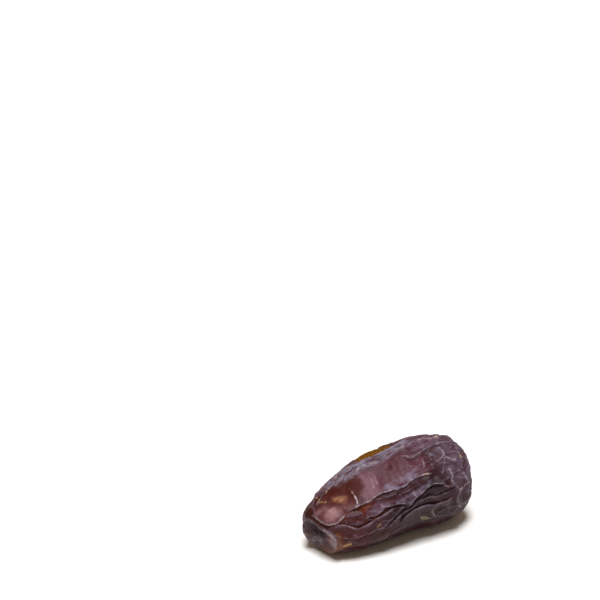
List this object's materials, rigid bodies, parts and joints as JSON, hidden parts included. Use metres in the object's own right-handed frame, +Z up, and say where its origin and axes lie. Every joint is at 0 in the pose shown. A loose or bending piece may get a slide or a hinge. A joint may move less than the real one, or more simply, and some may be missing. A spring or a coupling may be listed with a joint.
{
  "type": "anbara date",
  "caption": "Whole dried anbara date lying on its side, with long skin folds, a net of wrinkles and a shallow dish at the stem end.",
  "frame": {"origin": "middle of the fruit's box in X and Y, on the surface that it rests on", "axes": "+X along the fruit from the stem end to the tip, -Y towards the side that the picture shows, +Z up"},
  "size_m": [0.0486, 0.0248, 0.0247],
  "materials": {
    "date_skin": "dried aubergine-brown fruit skin with a soft shine, wrinkled, with a thin bluish bloom on the ridges"
  },
  "bodies": {
    "root": {"date": "date_skin"}
  },
  "joints": []
}
